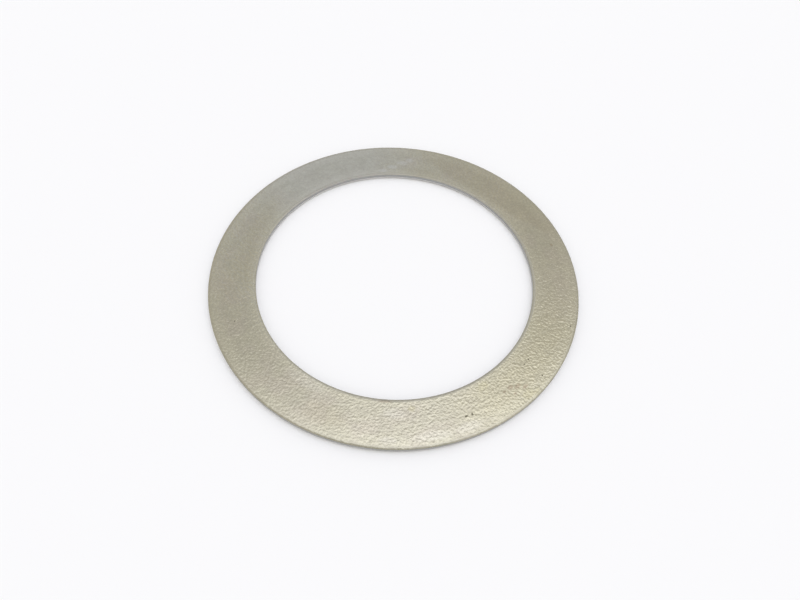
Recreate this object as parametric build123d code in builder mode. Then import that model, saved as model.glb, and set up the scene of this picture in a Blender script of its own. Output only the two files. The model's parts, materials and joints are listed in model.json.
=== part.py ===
"""Shim ring: a flat spacer blanked from cold-rolled steel sheet in one stroke of a compound die.

The ring slides over a shaft and drops into a housing bore, where it takes up end play. It is one
piece of metal. Sizes are in millimetres. The origin is the centre of the bore on the lower face,
and +Z runs along the bore, towards the face that the die rolled over at its edges.
"""

import os

from build123d import *

# What the ring goes over and into, and the sheet that it is cut from
shaft_diameter = 45.0
shaft_clearance = 0.05  # gap all round between the shaft and the bore
housing_diameter = 60.0
housing_clearance = 0.05  # gap all round between the rim and the housing
thickness = 1.0

# How the die shears an edge, from the upper face down
rim_roll_width = 0.45  # how far in from the rim the face is pulled over
rim_roll_depth = 0.10
bore_roll_width = 0.30  # the bore's punch fits its die more closely, so the roll is tighter
bore_roll_depth = 0.09
fracture_height = 0.42  # the torn band, from the lower face up to the burnished land
fracture_lean = 0.06  # how far the torn band falls away from the land's line
tumbled_radius = 0.07  # the sharp corners above and below, once tumbling has rounded them

bore_radius = shaft_diameter / 2 + shaft_clearance
rim_radius = housing_diameter / 2 - housing_clearance
middle_radius = (bore_radius + rim_radius) / 2

with BuildPart() as shim_ring:
    with BuildSketch(Plane.XZ) as section:
        # One stroke cuts the rim and the bore, so both edges are drawn alike, each from the middle
        # of the upper face to the middle of the lower one. Only their die rolls differ.
        edges = (
            (rim_radius, 1, rim_roll_width, rim_roll_depth),
            (bore_radius, -1, bore_roll_width, bore_roll_depth),
        )
        with BuildLine():
            for wall, outward, roll_width, roll_depth in edges:
                roll_start = (wall - outward * roll_width, thickness)
                land_top = (wall, thickness - roll_depth)
                land_foot = (wall, fracture_height)
                burr = (wall - outward * fracture_lean, 0)
                Line((middle_radius, thickness), roll_start)
                TangentArc(roll_start, land_top, tangent=(outward, 0))
                Polyline(land_top, land_foot, burr, (middle_radius, 0))
        make_face()
        # from the lowest up: the burrs, the land's feet, its tops and the starts of the die roll
        burrs, _, *land_tops, _ = section.vertices().group_by(Axis.Y)
        fillet([corner for group in (burrs, *land_tops) for corner in group], tumbled_radius)
    revolve(axis=Axis.Z)
shim_ring.part.label = "shim_ring"

os.makedirs("parts", exist_ok=True)
export_step(shim_ring.part, "parts/shim_ring.step")

print(f"rim {2 * rim_radius:.2f} mm, bore {2 * bore_radius:.2f} mm, {thickness:.2f} mm thick")
for wall in shim_ring.faces().filter_by(GeomType.CYLINDER):
    land = wall.bounding_box()
    print(f"land at radius {land.max.X:.2f} mm, from {land.min.Z:.3f} to {land.max.Z:.3f} mm up")
print(f"{len(shim_ring.solids())} solid of {shim_ring.part.volume:.1f} mm3")
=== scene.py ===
# %% [markdown]
# # A shim ring of bare steel
# A shim ring is a flat spacer. It slides over a shaft and takes up the last bit of end play, so
# its thickness and its two round edges are the whole design. This lesson builds one ring with the
# small things that make it look real: the edges that the die left, the fine ripple of tumbled
# sheet, and a few marks. Blender works in metres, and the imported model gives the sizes. The origin
# is the centre of the bore on the lower face.

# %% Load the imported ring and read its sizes
import json
import math

import bmesh
import bpy
from mathutils import Matrix, Vector


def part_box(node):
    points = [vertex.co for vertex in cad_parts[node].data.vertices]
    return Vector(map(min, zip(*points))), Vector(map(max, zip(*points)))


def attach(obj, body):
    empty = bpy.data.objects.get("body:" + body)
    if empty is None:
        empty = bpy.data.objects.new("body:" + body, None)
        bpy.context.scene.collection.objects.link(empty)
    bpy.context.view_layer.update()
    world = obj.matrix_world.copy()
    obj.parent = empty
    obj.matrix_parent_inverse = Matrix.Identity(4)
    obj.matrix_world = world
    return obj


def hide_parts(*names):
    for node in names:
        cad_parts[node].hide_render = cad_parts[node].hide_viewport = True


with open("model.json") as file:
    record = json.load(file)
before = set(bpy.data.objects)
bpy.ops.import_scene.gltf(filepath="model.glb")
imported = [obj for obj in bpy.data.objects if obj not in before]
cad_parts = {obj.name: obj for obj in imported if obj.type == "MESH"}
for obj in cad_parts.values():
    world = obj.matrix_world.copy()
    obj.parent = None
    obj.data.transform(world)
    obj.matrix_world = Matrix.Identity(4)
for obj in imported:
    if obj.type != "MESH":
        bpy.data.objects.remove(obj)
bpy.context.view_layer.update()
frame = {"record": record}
mm = 0.001
lowest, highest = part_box("shim_ring")
ripple_depth = 0.055 * mm  # the most, from trough to crest
crest_room = 0.48 * ripple_depth  # how far the crests stand above the face
thickness = highest.z - lowest.z - 2 * crest_room
rim_radius = (highest.x - lowest.x) / 2
bore_mount = next(mount for mount in frame["record"]["mounts"] if mount["name"] == "bore")
bore_radius = bore_mount["dims"]["r_mm"] * mm
middle_radius = (bore_radius + rim_radius) / 2
half_width = (rim_radius - bore_radius) / 2
print(f"bore {2 * bore_radius / mm:.2f} mm, rim {2 * rim_radius / mm:.2f} mm")
print(f"{thickness / mm:.3f} mm thick before the ripple")

# %% [markdown]
# ## Camera
# The ring lies on a table and is seen from above its near side, through a wide lens about a hand's
# width away. The camera is placed first, because every later choice is judged through it. It is
# turned in three steps that a camera operator would name: pan to the side, tilt down, then roll.
# The near clipping distance has to be shorter than usual, or it would cut the near side away.

# %% Place the camera
eye = Vector((0, -58.26, 79.02)) * mm
pan, tilt, roll = (math.radians(turn) for turn in (1.055, 55.88, 4.23))

bpy.ops.object.camera_add(location=eye)
camera = bpy.context.object
camera.name = "table_camera"
camera.matrix_world = (
    Matrix.Translation(eye)
    @ Matrix.Rotation(-pan, 4, "Z")
    @ Matrix.Rotation(math.pi / 2 - tilt, 4, "X")
    @ Matrix.Rotation(roll, 4, "Z")
)
camera.data.lens = 26.74
camera.data.clip_start = 1 * mm
bpy.context.scene.camera = camera
bpy.context.scene.view_settings.view_transform = "Standard"
print(f"camera {eye.length / mm:.0f} mm from the bore's centre, {camera.data.lens:.1f} mm lens")

# %% [markdown]
# ## A small kit for shaders
# Every finish below is a tree of nodes, and a few short helpers keep the trees readable. The first
# two fill a socket and add a node, and the next two do one step of arithmetic, on numbers or on
# vectors. The last three turn a range of values into another, go from one number to another, and
# mix two colours.

# %% Helpers that add nodes
def fill(tree, socket, value):
    """Gives a socket a plain value, or wires an output into it."""
    if isinstance(value, bpy.types.NodeSocket):
        tree.links.new(value, socket)
    else:
        socket.default_value = value


def add_node(tree, kind, settings=None, **sockets):
    """Adds a node. Its settings are set first, then its sockets, by name."""
    made = tree.nodes.new(kind)
    for name, value in (settings or {}).items():
        setattr(made, name, value)
    for name, value in sockets.items():
        fill(tree, made.inputs[name.replace("_", " ").title()], value)
    return made


def reckon(tree, operation, *values):
    """One step of arithmetic on numbers."""
    made = tree.nodes.new("ShaderNodeMath")
    made.operation = operation
    for socket, value in zip(made.inputs, values):
        fill(tree, socket, value)
    return made.outputs[0]


def reckon_vector(tree, operation, *vectors, scale=None):
    """One step of arithmetic on vectors. A length or a dot product comes out as a number."""
    made = tree.nodes.new("ShaderNodeVectorMath")
    made.operation = operation
    for socket, value in zip(made.inputs, vectors):
        fill(tree, socket, value)
    if scale is not None:
        fill(tree, made.inputs["Scale"], scale)
    return made.outputs["Value" if operation in ("LENGTH", "DOT_PRODUCT") else "Vector"]


print("node helpers ready")

# %% Helpers that grade and mix
def ramp(tree, value, start, end, low=0.0, high=1.0):
    """Turns start..end into low..high with a soft beginning and end, and holds it outside that."""
    made = add_node(
        tree,
        "ShaderNodeMapRange",
        {"interpolation_type": "SMOOTHSTEP"},
        Value=value,
        From_Min=start,
        From_Max=end,
        To_Min=low,
        To_Max=high,
    )
    return made.outputs[0]


def between(tree, share, outside, inside):
    """The outside number where share is 0, the inside one where it is 1, and a mix between them."""
    return reckon(tree, "MULTIPLY_ADD", share, inside - outside, outside)


def tint(tree, share, below, above):
    """Mixes two colours: below where share is 0 and above where it is 1."""
    made = tree.nodes.new("ShaderNodeMix")
    made.data_type = "RGBA"
    # a Mix node has sockets for every kind of value, and these are the ones for colours
    for socket, value in ((0, share), (6, below), (7, above)):
        fill(tree, made.inputs[socket], value)
    return made.outputs[2]


print("grading helpers ready")

# %% [markdown]
# ## Floor
# A sheet of white card is the plain floor. It is a matte surface, so it takes the ring's thin
# contact shadow and shows no shine of its own. It lies a hair under the ring, as two surfaces at
# one height would flicker.

# %% Lay the white card
card_reach = 3.0
hair = 0.002 * mm
bpy.ops.mesh.primitive_circle_add(
    vertices=64, radius=card_reach, fill_type="NGON", location=(0, 0, lowest.z - hair)
)
card = bpy.context.object
card.name = "white_card"
card_white = bpy.data.materials.new("white_card")
card_white.use_nodes = True
matte = card_white.node_tree.nodes["Principled BSDF"].inputs
matte["Base Color"].default_value = (0.90, 0.90, 0.895, 1)
matte["Roughness"].default_value = 1.0
matte["Specular IOR Level"].default_value = 0.0
card.data.materials.append(card_white)
print(f"card {2 * card_reach:.0f} m across")

# %% [markdown]
# ## Light
# Bare metal has little colour of its own: it shows what it mirrors. The ring stands in a room of
# soft grey walls. Almost overhead, a little behind and to the right, hangs a wide softbox that
# fades towards its sides. Halfway up the far wall a window adds a patch of cooler light, and on the
# near side someone leans over the table and darkens the room a little. All of this is painted on
# the sky with soft patches, which light the ring without noise. For the two that are overhead, a
# direction in the sky is read as the point where it meets a ceiling one unit up, so each is an oval
# with a centre and a size there. The window is a round patch about one direction.

# %% Describe the room's lights
room_light = 0.93
horizon_light = 0.9
even_height = 0.65  # where the walls reach the room's light, as a sine of the angle of height
wall_tint = (1.0, 0.99, 0.98, 1)
window_tint = (1.07, 1.11, 1.24, 1)
window_direction = Vector((-0.11, 0.71, 0.69)).normalized()
window_edge, window_heart = 0.96, 0.99  # as cosines of the angle from its direction
# within its heart, a share of its reach, an oval is as bright as at its centre
softbox_light = (1.33, 1.37, 1.60)
softbox = {"centre": (0.23, 0.21), "reach": (0.9, 0.46), "heart": 0.25}
onlooker_light = 0.8  # the share of the room's light that the onlooker leaves
onlooker = {"centre": (0.0, -0.95), "reach": (0.9, 1.1), "heart": 0.0}
print(f"room {room_light:.2f}, and {softbox_light[1]:.2f} more at the softbox's centre")

# %% Look at the sky as a ceiling
world = bpy.data.worlds.new("soft_room")
bpy.context.scene.world = world
world.use_nodes = True
room = world.node_tree
looking = room.nodes.new("ShaderNodeTexCoord").outputs["Generated"]
up = add_node(room, "ShaderNodeSeparateXYZ", Vector=looking).outputs["Z"]
rise = reckon(room, "MAXIMUM", up, 0.05)  # a level look would never meet the ceiling
ceiling = reckon_vector(room, "SCALE", looking, scale=reckon(room, "DIVIDE", 1.0, rise))


def oval(centre, reach, heart):
    """1 in the heart of a soft oval on the ceiling, 0 from its reach outwards."""
    moved = add_node(
        room,
        "ShaderNodeMapping",
        {"vector_type": "TEXTURE"},
        Vector=ceiling,
        Location=(*centre, 1),
        Scale=(*reach, 1),
    )
    from_centre = reckon_vector(room, "LENGTH", moved.outputs[0])
    return ramp(room, from_centre, heart, 1.0, 1.0, 0.0)


print("ceiling ready")

# %% Paint the room's light
towards_window = reckon_vector(room, "DOT_PRODUCT", looking, window_direction)
coolness = ramp(room, towards_window, window_edge, window_heart)
wall_light = tint(room, coolness, wall_tint, window_tint)
wall_height = ramp(room, up, 0.0, even_height, horizon_light, room_light)
leaning = between(room, oval(**onlooker), 1.0, onlooker_light)
shaded = reckon(room, "MULTIPLY", wall_height, leaning)
walls = reckon_vector(room, "SCALE", wall_light, scale=shaded)
lit_room = reckon_vector(room, "MULTIPLY_ADD", oval(**softbox), softbox_light, walls)
fill(room, room.nodes["Background"].inputs["Color"], lit_room)
print(f"sky painted with {len(room.nodes)} nodes")

# %% [markdown]
# ## The section that the die leaves
# The ring is blanked from sheet in one stroke. The punch first pulls the upper face down at each
# edge (die roll), then shears a bright smooth band (the burnished land), and then the rest tears
# off and leaves a duller band that leans inwards (the fracture). Tumbling rounds the corners.
# A plain disc with a hole has none of this, and its edge looks cut from card. So the section is
# drawn first, from a flat plate as wide and as thick as the ring, and turned round the bore later.

# %% Cut a plate to the section's size
# the die roll's width and depth, at the rim (side 1) and at the bore (side -1)
die_rolls = {1: (0.45 * mm, 0.10 * mm), -1: (0.30 * mm, 0.09 * mm)}
fracture_height = 0.42 * mm
fracture_lean = 0.06 * mm
tiny = 0.001 * mm

bpy.ops.object.select_all(action="DESELECT")
bpy.ops.mesh.primitive_plane_add(
    size=1, location=(middle_radius, 0, thickness / 2), rotation=(math.pi / 2, 0, 0)
)
ring = bpy.context.object
ring.name = ring.data.name = "steel_ring"
ring.scale = (2 * half_width, thickness, 1)
bpy.ops.object.transform_apply(location=True, rotation=True, scale=True)


def pick_points(test):
    """Selects the ring's points whose place passes the test, and the edges between them."""
    edit = bmesh.from_edit_mesh(ring.data)
    for part in (*edit.verts, *edit.edges, *edit.faces):
        part.select_set(False)
    chosen = [point for point in edit.verts if test(point.co)]
    for point in chosen:
        point.select_set(True)
    edit.select_flush(True)
    bmesh.update_edit_mesh(ring.data)
    return len(chosen)


print(f"plate {2 * half_width / mm:.2f} by {thickness / mm:.3f} mm")

# %% Draw the plate's corners in
def at_corner(place, side, upper):
    """Whether a point of the plate is its upper or its lower corner on this side."""
    return (place.x - middle_radius) * side > 0 and (place.z > thickness / 2) == upper


bpy.ops.object.mode_set(mode="EDIT")
bpy.ops.mesh.select_mode(type="VERT")
for side, (roll_width, _) in die_rolls.items():
    for upper, inset in ((True, roll_width), (False, fracture_lean)):
        pick_points(lambda place: at_corner(place, side, upper))
        bpy.ops.transform.translate(value=(-side * inset, 0, 0))
print("corners drawn in to where the die roll and the fracture end")

# %% [markdown]
# ## Die roll, land and fracture
# The slanting sides of the plate go, and each side is drawn anew from the upper corner. Spin turns
# that corner into the arc of the die roll. Two extrusions draw the land straight down and the
# fracture leaning in to the lower corner, where merging closes the outline.

# %% Draw both sheared edges
def roll_arc(width, depth):
    """The radius of the die roll's arc, and how far it turns."""
    radius = (width**2 + depth**2) / (2 * depth)
    return radius, math.asin(width / radius)


for side in die_rolls:
    pick_points(lambda place: (place.x - middle_radius) * side > 0)
    bpy.ops.mesh.delete(type="EDGE")
for side, (roll_width, roll_depth) in die_rolls.items():
    roll_radius, roll_turn = roll_arc(roll_width, roll_depth)
    land_height = thickness - roll_depth - fracture_height
    corner_x = middle_radius + side * (half_width - roll_width)
    pick_points(lambda place: place.z > thickness / 2 and abs(place.x - corner_x) < tiny)
    bpy.ops.mesh.spin(
        steps=6,
        angle=-side * roll_turn,
        center=(corner_x, 0, thickness - roll_radius),
        axis=(0, 1, 0),
    )
    for step in ((0, 0, -land_height), (-side * fracture_lean, 0, -fracture_height)):
        bpy.ops.mesh.extrude_region_move(TRANSFORM_OT_translate={"value": step})
bpy.ops.mesh.select_all(action="SELECT")
bpy.ops.mesh.remove_doubles(threshold=tiny)
print(f"outline of {len(bmesh.from_edit_mesh(ring.data).verts)} points")

# %% [markdown]
# ## Tumbled corners
# A freshly cut ring has burrs that would score a shaft, so such rings are tumbled with stones.
# That leaves a radius of a few hundredths of a millimetre above and below. A bevel of the corner
# points makes it. A bevel is measured along the edges, so each corner's offset is worked out from
# the radius and from how sharply the outline turns there.

# %% Round the corners
tumbled_radius = 0.07 * mm
lean_turn = math.atan(fracture_lean / fracture_height)
wall_reach = 1.1 * fracture_lean  # a little more than the fracture leans in


def on_wall(place):
    """Whether a point is within wall_reach of the ring's outermost or innermost line."""
    return abs(place.x - middle_radius) > half_width - wall_reach


def round_corners(height, turn):
    """Rounds the two corners at this height, where the outline turns by that angle."""
    found = pick_points(lambda place: abs(place.z - height) < tiny and on_wall(place))
    bpy.ops.mesh.bevel(offset=tumbled_radius * math.tan(turn / 2), segments=3, affect="VERTICES")
    return found


rounded = round_corners(0, math.pi / 2 + lean_turn)
for roll_width, roll_depth in die_rolls.values():
    _, roll_turn = roll_arc(roll_width, roll_depth)
    rounded += round_corners(thickness - roll_depth, math.pi / 2 - roll_turn)
print(f"{rounded} corners rounded to {tumbled_radius / mm:.2f} mm")

# %% [markdown]
# ## Enough points for a fine ripple
# The sheet's ripple is about half a millimetre from crest to crest, and later it is pressed into
# the mesh itself. So the upper face needs a point every seventh of a millimetre or so. The lower
# face lies on the table, and coarser cells do there. The torn band gets a few rows of its own.

# %% Divide the outline
upper_parts, lower_parts, torn_parts, land_parts = 44, 16, 6, 3
above_corner = 0.05 * mm  # between the last two points of the rounded corner


def divide(parts, test):
    """Cuts the outline's edges whose two ends pass the test into equal parts."""
    pick_points(test)
    bpy.ops.mesh.subdivide(number_cuts=parts - 1)


def on_torn_band(place):
    """Whether a point is at the foot or at the top of the torn band's straight line."""
    return on_wall(place) and above_corner < place.z < fracture_height + tiny


divide(upper_parts, lambda place: place.z > thickness - tiny)
divide(lower_parts, lambda place: place.z < tiny)
divide(torn_parts, on_torn_band)
divide(land_parts, lambda place: abs(place.x - middle_radius) > half_width - tiny)
bpy.ops.object.mode_set(mode="OBJECT")
print(f"section of {len(ring.data.vertices)} points")

# %% [markdown]
# ## Turn the section into a ring
# Turning the outline once round the bore's axis makes the closed ring. The Screw modifier does it
# quickly and evenly, and merges the last step with the first. Before that, each point is told how
# far along the outline it lies. The turn copies that number to every point it makes, and it will
# serve to lay the whole surface out flat.

# %% Measure along the outline
height_middle = thickness / 2
outline = sorted(
    ring.data.vertices,
    key=lambda point: math.atan2(middle_radius - point.co.x, point.co.z - height_middle),
)
along = ring.data.attributes.new("along_outline", "FLOAT", "POINT")
outline_length = 0.0
for before, point in zip(outline, outline[1:] + outline[:1]):
    along.data[before.index].value = outline_length
    outline_length += (point.co - before.co).length
print(f"outline {outline_length / mm:.1f} mm long")

# %% Turn the outline round the bore
steps_round = 960
turning = ring.modifiers.new("turn", "SCREW")
turning.steps = turning.render_steps = steps_round
turning.use_merge_vertices = True
turning.merge_threshold = tiny
turning.use_smooth_shade = True
bpy.ops.object.modifier_apply(modifier="turn")

bpy.ops.object.mode_set(mode="EDIT")
bpy.ops.mesh.select_all(action="SELECT")
bpy.ops.mesh.remove_doubles(threshold=0.1 * tiny)
bpy.ops.mesh.normals_make_consistent(inside=False)
bpy.ops.object.mode_set(mode="OBJECT")
print(f"{len(ring.data.polygons)} faces in {steps_round} steps")

# %% [markdown]
# ## The ripple of tumbled sheet
# Close up, the faces aren't flat. Rolling and tumbling leave a soft ripple a few hundredths of a
# millimetre deep, and it is what makes the near part sparkle. It is real relief, so it is pressed
# into the mesh with Displace modifiers. Vertex groups say how deep: full on the flat faces, fading
# over the die roll, and none on the smooth land. The torn band gets a rough grain of its own, which
# only goes inwards. The ripple goes both ways from the face, so that its fade doesn't bend the die
# roll. A micrometer would rest on the crests, and so the section was drawn thinner by the room that
# they need on both sides. No ring comes out of the tumbler quite even, so this one's ripple is
# shallower in two places.

# %% Say how deep the ripple is
calm_sides = (
    # a direction in degrees, the cosine of the angle from it where the calm begins, the depth lost
    (-128, 0.7, 0.45),
    (-10, 0.5, 0.2),
)
bare_wall = 0.1 * mm  # no ripple this near to a wall


def soft_step(value, start, end):
    """0 up to start, 1 from end on, and a soft rise between them."""
    share = min(max((value - start) / (end - start), 0), 1)
    return share * share * (3 - 2 * share)


def ripple_share(angle, from_wall, roll_width):
    """How much of the ripple's depth is at this angle round the bore, this far from a wall."""
    depth = soft_step(from_wall, bare_wall, roll_width)
    for side_angle, edge, loss in calm_sides:
        depth *= 1 - loss * soft_step(math.cos(angle - math.radians(side_angle)), edge, 1.0)
    return depth


print(f"ripple calmer in {len(calm_sides)} places")

# %% Say where each relief belongs
sheet_ripple = ring.vertex_groups.new(name="sheet_ripple")
torn_grain = ring.vertex_groups.new(name="torn_grain")
for point in ring.data.vertices:
    from_middle = math.hypot(point.co.x, point.co.y) - middle_radius
    from_wall = half_width - abs(from_middle)
    roll_width, _ = die_rolls[1 if from_middle > 0 else -1]
    angle = math.atan2(point.co.y, point.co.x)
    sheet_ripple.add([point.index], ripple_share(angle, from_wall, roll_width), "REPLACE")
    if from_wall < wall_reach and point.co.z < fracture_height:
        share = math.sin(math.pi * max(point.co.z, 0) / fracture_height)
        torn_grain.add([point.index], share, "REPLACE")
print("relief: full on the faces, fading over the die roll, none on the land")

# %% Press the reliefs in
def press_in(group, crest_to_crest, depth, level, detail):
    """Presses a cloudy relief into the ring. Where the clouds are at the level, nothing moves."""
    clouds = bpy.data.textures.new(group.name, type="CLOUDS")
    clouds.noise_scale = crest_to_crest / 2
    clouds.noise_depth = detail
    press = ring.modifiers.new(group.name, "DISPLACE")
    press.texture = clouds
    press.texture_coords = "LOCAL"
    press.vertex_group = group.name
    press.mid_level = level
    press.strength = depth
    bpy.ops.object.modifier_apply(modifier=press.name)


ripple_spacing = 0.5 * mm
torn_spacing, torn_depth = 0.3 * mm, 0.04 * mm
press_in(sheet_ripple, ripple_spacing, ripple_depth, level=0.5, detail=1)
press_in(torn_grain, torn_spacing, torn_depth, level=1.0, detail=2)
ring.vertex_groups.clear()
ring.data.transform(Matrix.Translation((0, 0, lowest.z + crest_room)))
print(f"ripple {ripple_depth / mm:.3f} mm deep, {ripple_spacing / mm:.1f} mm from crest to crest")

# %% [markdown]
# ## A flat layout of the whole surface
# A program that paints the ring's finish onto a picture needs the surface laid out flat. A ring
# seen from above wastes most of a square, so this layout cuts the ring into three equal arcs and
# unrolls each one into a strip. Across a strip the place is the angle round the bore, and up it
# the place along the outline. The three strips then fill the square almost completely.

# %% Unroll the ring into three strips
strips = 3
gap = 0.01  # left free round each strip, as a share of its size
arc = 2 * math.pi / strips
ring.data.uv_layers.new(name="OFBake")
for other in [layer for layer in ring.data.uv_layers if layer.name != "OFBake"]:
    ring.data.uv_layers.remove(other)
layout = ring.data.uv_layers["OFBake"].data
along = ring.data.attributes["along_outline"].data
for face in ring.data.polygons:
    face_angle = math.atan2(face.center.y, face.center.x) % (2 * math.pi)
    strip = int(face_angle / arc)
    lengths = [along[index].value for index in face.vertices]
    over_seam = max(lengths) - min(lengths) > outline_length / 2
    for corner, index, length in zip(face.loop_indices, face.vertices, lengths):
        place = ring.data.vertices[index].co
        turn = math.remainder(math.atan2(place.y, place.x) - face_angle, 2 * math.pi)
        if over_seam and length < outline_length / 2:
            length += outline_length
        across = (face_angle + turn) / arc - strip
        layout[corner].uv = (
            gap / 2 + across * (1 - gap),
            (strip + gap + length / outline_length * (1 - 2 * gap)) / strips,
        )
ring.data.attributes.remove(ring.data.attributes["along_outline"])
print(f"{strips} strips, each {arc * middle_radius / mm:.0f} by {outline_length / mm:.1f} mm")

# %% [markdown]
# ## Where on the steel
# All the finishes read the place on the ring in millimetres, so that a grain's size is written as
# a real size. Two more readings come from it: the distance from the bore's axis, and soft noise
# of a chosen size, which stands for everything that varies by chance.

# %% Readings that the finishes share
def begin_finish(name):
    """A new material, its nodes, its shader's sockets, and the place on the ring in millimetres."""
    made = bpy.data.materials.new(name)
    made.use_nodes = True
    tree = made.node_tree
    metres = tree.nodes.new("ShaderNodeTexCoord").outputs["Object"]
    place = reckon_vector(tree, "SCALE", metres, scale=1 / mm)
    return made, tree, tree.nodes["Principled BSDF"].inputs, place


def noise(tree, place, size, detail, stretch=(1, 1, 1)):
    """Soft noise from 0 to 1, whose blotches are about this many millimetres across."""
    spread = add_node(tree, "ShaderNodeMapping", Vector=place, Scale=stretch).outputs[0]
    made = add_node(tree, "ShaderNodeTexNoise", Vector=spread, Scale=0.5 / size, Detail=detail)
    return made.outputs[0]


def axis_distance(tree, place):
    """How far a place is from the bore's axis, in millimetres."""
    flat = add_node(tree, "ShaderNodeMapping", Vector=place, Scale=(1, 1, 0))
    return reckon_vector(tree, "LENGTH", flat.outputs[0])


print("shared readings ready")

# %% [markdown]
# ## The marks
# A used or handled ring has a few marks. Small pits are sunk a little and coloured nearly black, a
# faint film of old oil leaves brownish or yellowish stains, and a rubbed or wiped spot is a little
# paler.
# Wider films tint whole stretches light, straw, olive, brown or grey, and one stretch is smoother
# than the rest. Each mark is a soft round or oval patch at its own place, with an outline made
# uneven by noise. They are given by the distance from the axis and the angle round it, as one would
# find them on a turntable.

# %% List the small marks
# each is given by its distance from the axis and its angle, then its length and width,
# all but the angle in millimetres
pits = [
    (26.87, -65.5, 0.54, 0.26),
    (26.92, -63.5, 0.30, 0.46),
    (29.02, -16.9, 0.30, 0.26),
    (26.55, -155.4, 0.34, 0.29),
    (25.40, -35.5, 0.34, 0.24),
    (25.39, -38.0, 0.30, 0.22),
    (28.43, -37.5, 0.34, 0.22),
]
brown_stains = [
    (26.36, -47.9, 1.3, 0.9),
    (26.93, -45.8, 1.4, 0.8),
    (27.68, -44.1, 1.2, 0.7),
    (26.37, -50.5, 0.6, 0.5),
    (27.52, -48.2, 0.6, 0.5),
    (27.55, 16.5, 0.7, 0.5),
    (22.9, -91.0, 2.6, 0.5),
]
yellow_stains = [
    (28.77, -45.2, 2.8, 1.8),
    (29.4, -42.8, 1.8, 1.0),
    (23.9, -55.2, 2.6, 1.5),
    (24.05, -81.8, 1.4, 1.2),
]
pale_rubs = [
    (28.4, -66.0, 5.0, 2.0),
    (28.4, -77.0, 7.0, 1.8),
    (28.7, -89.0, 3.4, 1.2),
    (24.7, -88.0, 4.0, 2.0),
    (23.6, -120.0, 8.0, 2.6),
]
wiped_streak = [
    (23.6, 98.2, 2.0, 1.1),
    (24.6, 94.2, 2.2, 1.2),
    (25.7, 89.9, 2.6, 1.4),
    (26.5, 86.9, 1.8, 1.3),
]
small_marks = (pits, brown_stains, yellow_stains, pale_rubs, wiped_streak)
print(f"{sum(len(marks) for marks in small_marks)} small marks")

# %% List the wide films and the calm stretch
light_film = [(26.3, -4.0, 17.0, 12.0), (24.8, 41.0, 15.0, 8.5)]
straw_film = [(26.3, -36.0, 34.0, 26.0)]
olive_film = [(26.3, 52.0, 42.0, 6.5), (23.4, 82.0, 9.0, 2.4), (23.4, 181.0, 10.0, 2.4)]
brown_film = [(24.4, 168.0, 24.0, 5.0), (26.9, -109.0, 8.0, 4.5)]
grey_film = [(26.3, 120.0, 38.0, 26.0)]
calm_patch = [(26.3, -145.0, 56.0, 26.0)]
wide_films = (light_film, straw_film, olive_film, brown_film, grey_film)
print(f"{sum(len(film) for film in wide_films)} wide films")

# %% Find the marks on the steel
waver_size = 0.15
mark_edge = 1.1  # where a mark ends, a little beyond half its length and half its width


def marked(tree, place, marks, ragged, heart=0.4):
    """1 at the heart of any of the marks, falling softly to 0 outside them all."""
    share = 0.0
    waver = noise(tree, place, waver_size, detail=2.0)
    for distance, angle, length, width in marks:
        turn = math.radians(angle)
        moved = add_node(
            tree,
            "ShaderNodeMapping",
            {"vector_type": "TEXTURE"},
            Vector=place,
            Location=(distance * math.cos(turn), distance * math.sin(turn), thickness / mm),
            Rotation=(0, 0, turn + math.pi / 2),
            Scale=(length / 2, width / 2, 1),
        )
        reach = reckon_vector(tree, "LENGTH", moved.outputs[0])
        uneven = reckon(tree, "MULTIPLY_ADD", waver, ragged, reach)
        inside = ramp(tree, uneven, heart + ragged / 2, mark_edge + ragged / 2, 1.0, 0.0)
        share = reckon(tree, "MAXIMUM", share, inside)
    return share


print("marks can be laid")

# %% [markdown]
# ## The tumbled face
# Bare steel is a metal: it has no paint-like colour, only a slightly warm mirror tint. The tint
# changes from place to place, in patches that lean greenish or pinkish and under the wide films.
# It is built up in layers, as a painter glazes: each layer has its own colour, its own share from
# place to place, and a strength.

# %% Tint the faces, film by film
greenish = (0.424, 0.400, 0.304, 1)
pinkish = (0.430, 0.397, 0.311, 1)
straw = (0.435, 0.405, 0.284, 1)
light = (0.50, 0.462, 0.352, 1)
olive = (0.376, 0.342, 0.243, 1)
cool_grey = (0.412, 0.403, 0.340, 1)
brown = (0.39, 0.35, 0.24, 1)

tumbled, tree, steel, place = begin_finish("tumbled_steel")


def lay(colour, over, share, strength):
    """Lays another colour over the one so far, where share is 1, at this strength."""
    return tint(tree, reckon(tree, "MULTIPLY", share, strength), colour, over)


patches = ramp(tree, noise(tree, place, 1.6, detail=1.0), 0.35, 0.65)
colour = tint(tree, patches, greenish, pinkish)
colour = lay(colour, straw, marked(tree, place, straw_film, ragged=0.3), 0.9)
colour = lay(colour, light, marked(tree, place, light_film, ragged=0.8), 0.35)
colour = lay(colour, olive, marked(tree, place, olive_film, ragged=0.3, heart=0.7), 0.5)
grey = marked(tree, place, grey_film, ragged=0.3, heart=0.3)
colour = lay(colour, cool_grey, grey, 0.7)
colour = lay(colour, brown, marked(tree, place, brown_film, ragged=0.3), 0.3)
print(f"tint and films: {len(tree.nodes)} nodes")

# %% [markdown]
# ## Clouds, rubs and marks
# Over the films lie clouds and finer mottling, which darken the steel a little. Stones rub most
# near the two edges, so the face is paler towards both, and under the grey film that rub is grey
# too. The small marks lie over all of these.

# %% Cloud and rub the faces
cloud_dark = (0.20, 0.19, 0.15, 1)
mottle_dark = (0.19, 0.18, 0.14, 1)
rubbed_steel = (0.477, 0.455, 0.345, 1)
rubbed_grey = (0.48, 0.46, 0.39, 1)

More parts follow.
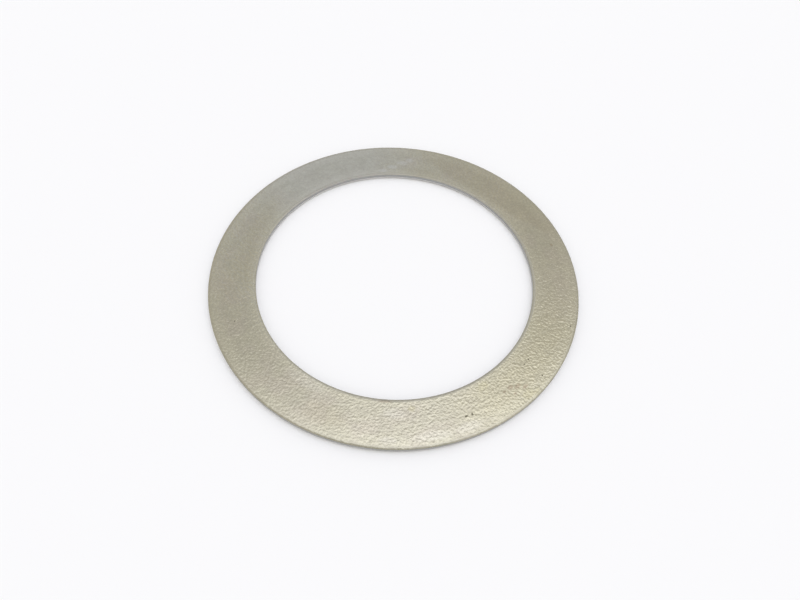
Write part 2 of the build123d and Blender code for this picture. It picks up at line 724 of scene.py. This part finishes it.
clouds = noise(tree, place, 0.8, detail=2.0)
colour = lay(colour, cloud_dark, ramp(tree, clouds, 0.3, 0.7), 0.12)
mottling = noise(tree, place, 0.3, detail=2.0)
colour = lay(colour, mottle_dark, ramp(tree, mottling, 0.3, 0.7), 0.14)
from_axis = axis_distance(tree, place)
inner_rub = ramp(tree, from_axis, bore_radius / mm, 25.0, 1.0, 0.0)
outer_rub = ramp(tree, from_axis, 27.4, 28.8, 0.0, 0.55)
rubbed = tint(tree, grey, rubbed_steel, rubbed_grey)
colour = lay(colour, rubbed, reckon(tree, "MAXIMUM", inner_rub, outer_rub), 0.5)
print(f"with clouds and rubs: {len(tree.nodes)} nodes")

# %% Lay the small marks
mark_colours = (
    # the marks, their colour and their strength
    (pale_rubs, (0.50, 0.475, 0.40, 1), 0.35),
    (wiped_streak, (0.50, 0.495, 0.45, 1), 0.4),
    (yellow_stains, (0.40, 0.37, 0.23, 1), 0.4),
    (brown_stains, (0.28, 0.22, 0.15, 1), 0.55),
)
# the pits' colour, nearly black
pit_black = (0.09, 0.075, 0.05, 1)

for marks, mark_colour, strength in mark_colours:
    colour = lay(colour, mark_colour, marked(tree, place, marks, ragged=0.8), strength)
pitted = marked(tree, place, pits, ragged=0.6)
colour = lay(colour, pit_black, pitted, 0.8)
print(f"with the small marks: {len(tree.nodes)} nodes")

# %% [markdown]
# ## Grain and rolled edges
# The finest grain is too small for the mesh, so it is left to bump, and its hollows get painted
# shade in the colour. The rolled edges are duller than the face, because stones strike them from all
# sides, and their colour is darkened with painted shade, which keeps them from mirroring the softbox
# as a bright line. The grey film weakens the grain's painted shade and deepens the painted shade on
# the rolled edges, and in the one smooth stretch the bump and the rolled edges are weaker. Tumbling
# leaves the whole face satin: the softbox still shows as one broad bright zone, but its outline is
# blurred.

# %% Paint shade into the grain's hollows and onto the rolled edges
# painted shade for the grain's hollows
grain_painted_shade = (0.17, 0.16, 0.13, 1)
# painted shade for the rolled edges
roll_painted_shade = (0.22, 0.215, 0.20, 1)

grain = noise(tree, place, 0.17, detail=2.5)
# the grain's hollows, where the bump dips, get painted shade
grain_hollow_shade = ramp(tree, grain, 0.25, 0.75, 1.0, 0.0)
colour = lay(colour, grain_painted_shade, grain_hollow_shade, between(tree, grey, 0.25, 0.13))
calm = marked(tree, place, calm_patch, ragged=0.3)
# where the rolled edges are duller; the same share lays painted shade on them
inner_roll_dullness_and_shade = ramp(tree, from_axis, bore_radius / mm + 0.3, bore_radius / mm + 0.55, 1.0, 0.0)
outer_roll_dullness_and_shade = ramp(tree, from_axis, rim_radius / mm - 0.6, rim_radius / mm - 0.35, 0.0, 0.4)
rolled = reckon(tree, "MAXIMUM", inner_roll_dullness_and_shade, outer_roll_dullness_and_shade)
rolled = reckon(tree, "MULTIPLY", rolled, between(tree, calm, 1.0, 0.3))
# painted shade on the rolled edges, deeper under the grey film
colour = lay(colour, roll_painted_shade, rolled, between(tree, grey, 0.33, 0.53))
fill(tree, steel["Base Color"], colour)
print(f"with grain and rolled edges: {len(tree.nodes)} nodes")

# %% Make the faces metal, satin and grainy
grain_depth = 0.039 * mm
steel["Metallic"].default_value = 1.0
satin = ramp(tree, clouds, 0.3, 0.7, 0.16, 0.2)
fill(tree, steel["Roughness"], reckon(tree, "MULTIPLY_ADD", rolled, 0.24, satin))
bump = add_node(
    tree,
    "ShaderNodeBump",
    Height=reckon(tree, "SUBTRACT", grain, pitted),
    Strength=between(tree, calm, 1.0, 0.65),
    Distance=grain_depth,
)
fill(tree, steel["Normal"], bump.outputs[0])
print(f"tumbled face finished with {len(tree.nodes)} nodes")

# %% [markdown]
# ## The sheared edge
# The land is rubbed smooth by the die, with fine scoring straight down the wall. Below it the steel
# was torn into tiny crumbs, and the band is matt. Its colour is painted much paler than the land's,
# a painted reflection of the white card that the foot of the wall mirrors. The line between the two
# wanders, so noise moves it up and down a little. One finish holds both, mixed by the height above
# the table.

# %% Finish of the bore's and the rim's edge
wander = 0.16  # how far the line moves up and down, in millimetres
line_height = fracture_height / mm + wander / 2
line_blur = 0.03
land_dark, land_light = (0.32, 0.32, 0.31, 1), (0.40, 0.40, 0.39, 1)
# the torn band's pale colour is a painted reflection of the white card
torn_reflection_dim, torn_reflection_bright = (0.62, 0.61, 0.60, 1), (0.80, 0.79, 0.78, 1)

sheared, tree, steel, place = begin_finish("sheared_steel")
height = add_node(tree, "ShaderNodeSeparateXYZ", Vector=place).outputs["Z"]
height = reckon(tree, "MULTIPLY_ADD", noise(tree, place, 0.35, detail=2.0), wander, height)
torn = ramp(tree, height, line_height - line_blur, line_height + line_blur, 1.0, 0.0)
scoring = noise(tree, place, 0.06, detail=2.0, stretch=(1, 1, 0.05))
crumbs = noise(tree, place, 0.09, detail=3.0)
land_colour = tint(tree, scoring, land_dark, land_light)
# crumbs mixed into the torn band's painted reflection
torn_colour_and_reflection = tint(tree, crumbs, torn_reflection_dim, torn_reflection_bright)
fill(tree, steel["Base Color"], tint(tree, torn, land_colour, torn_colour_and_reflection))
steel["Metallic"].default_value = 1.0
fill(tree, steel["Roughness"], between(tree, torn, 0.27, 0.52))
relief = add_node(tree, "ShaderNodeMix", A=scoring, B=crumbs, Factor=torn).outputs[0]
bump = add_node(tree, "ShaderNodeBump", Height=relief, Distance=0.006 * mm)
fill(tree, steel["Normal"], bump.outputs[0])
print(f"sheared edge finished with {len(tree.nodes)} nodes")

# %% Give each face of the mesh its finish
edge_reach = 0.08 * mm  # how far in from the wall the sheared finish goes
edge_foot = 0.02 * mm  # how far above the table it begins

for finish in (tumbled, sheared):
    ring.data.materials.append(finish)
for face in ring.data.polygons:
    from_middle = math.hypot(face.center.x, face.center.y) - middle_radius
    near_wall = half_width - abs(from_middle) < edge_reach
    _, roll_depth = die_rolls[1 if from_middle > 0 else -1]
    below_roll = edge_foot < face.center.z < thickness - roll_depth
    face.material_index = int(near_wall and below_roll)
print(f"{sum(face.material_index for face in ring.data.polygons)} faces on the sheared edge")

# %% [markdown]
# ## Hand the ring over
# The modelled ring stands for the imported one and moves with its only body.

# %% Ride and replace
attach(ring, "root")
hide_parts("shim_ring")
